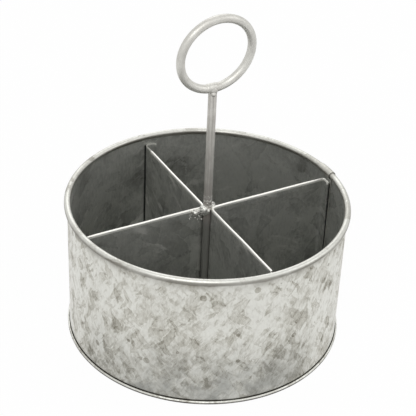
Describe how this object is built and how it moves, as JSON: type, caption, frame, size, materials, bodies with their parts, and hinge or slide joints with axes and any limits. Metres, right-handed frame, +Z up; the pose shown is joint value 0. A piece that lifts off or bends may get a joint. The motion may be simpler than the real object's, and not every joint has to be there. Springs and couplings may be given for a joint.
{
  "type": "cutlery caddy",
  "caption": "Round zinc-coated sheet drum with a rolled rim, crossed upright dividers and a rod with a ring handle, for standing cutlery.",
  "frame": {"origin": "middle of the underside", "axes": "+Z up along the rod; +X along the right divider arm, which ends at the wall's lap; the ring lies in the XZ plane; the picture looks from -X -Y, about 60 degrees from -X towards -Y"},
  "size_m": [0.2052, 0.2046, 0.25],
  "materials": {
    "zinc_sheet": "mottled hot-dip zinc, satin",
    "zinc_wire": "plain zinc",
    "handle_steel": "satin silver",
    "weld_metal": "rough, silvered over"
  },
  "bodies": {
    "root": {"drum_wall": "zinc_sheet", "rim_wire": "zinc_wire", "base_pan": "zinc_sheet", "left_divider": "zinc_sheet", "right_divider": "zinc_sheet", "handle_rod": "handle_steel", "handle_ring": "handle_steel", "ring_weld": "weld_metal", "rod_welds": "weld_metal", "tab_spot_welds": "weld_metal", "seam_spot_welds": "weld_metal"}
  },
  "joints": []
}
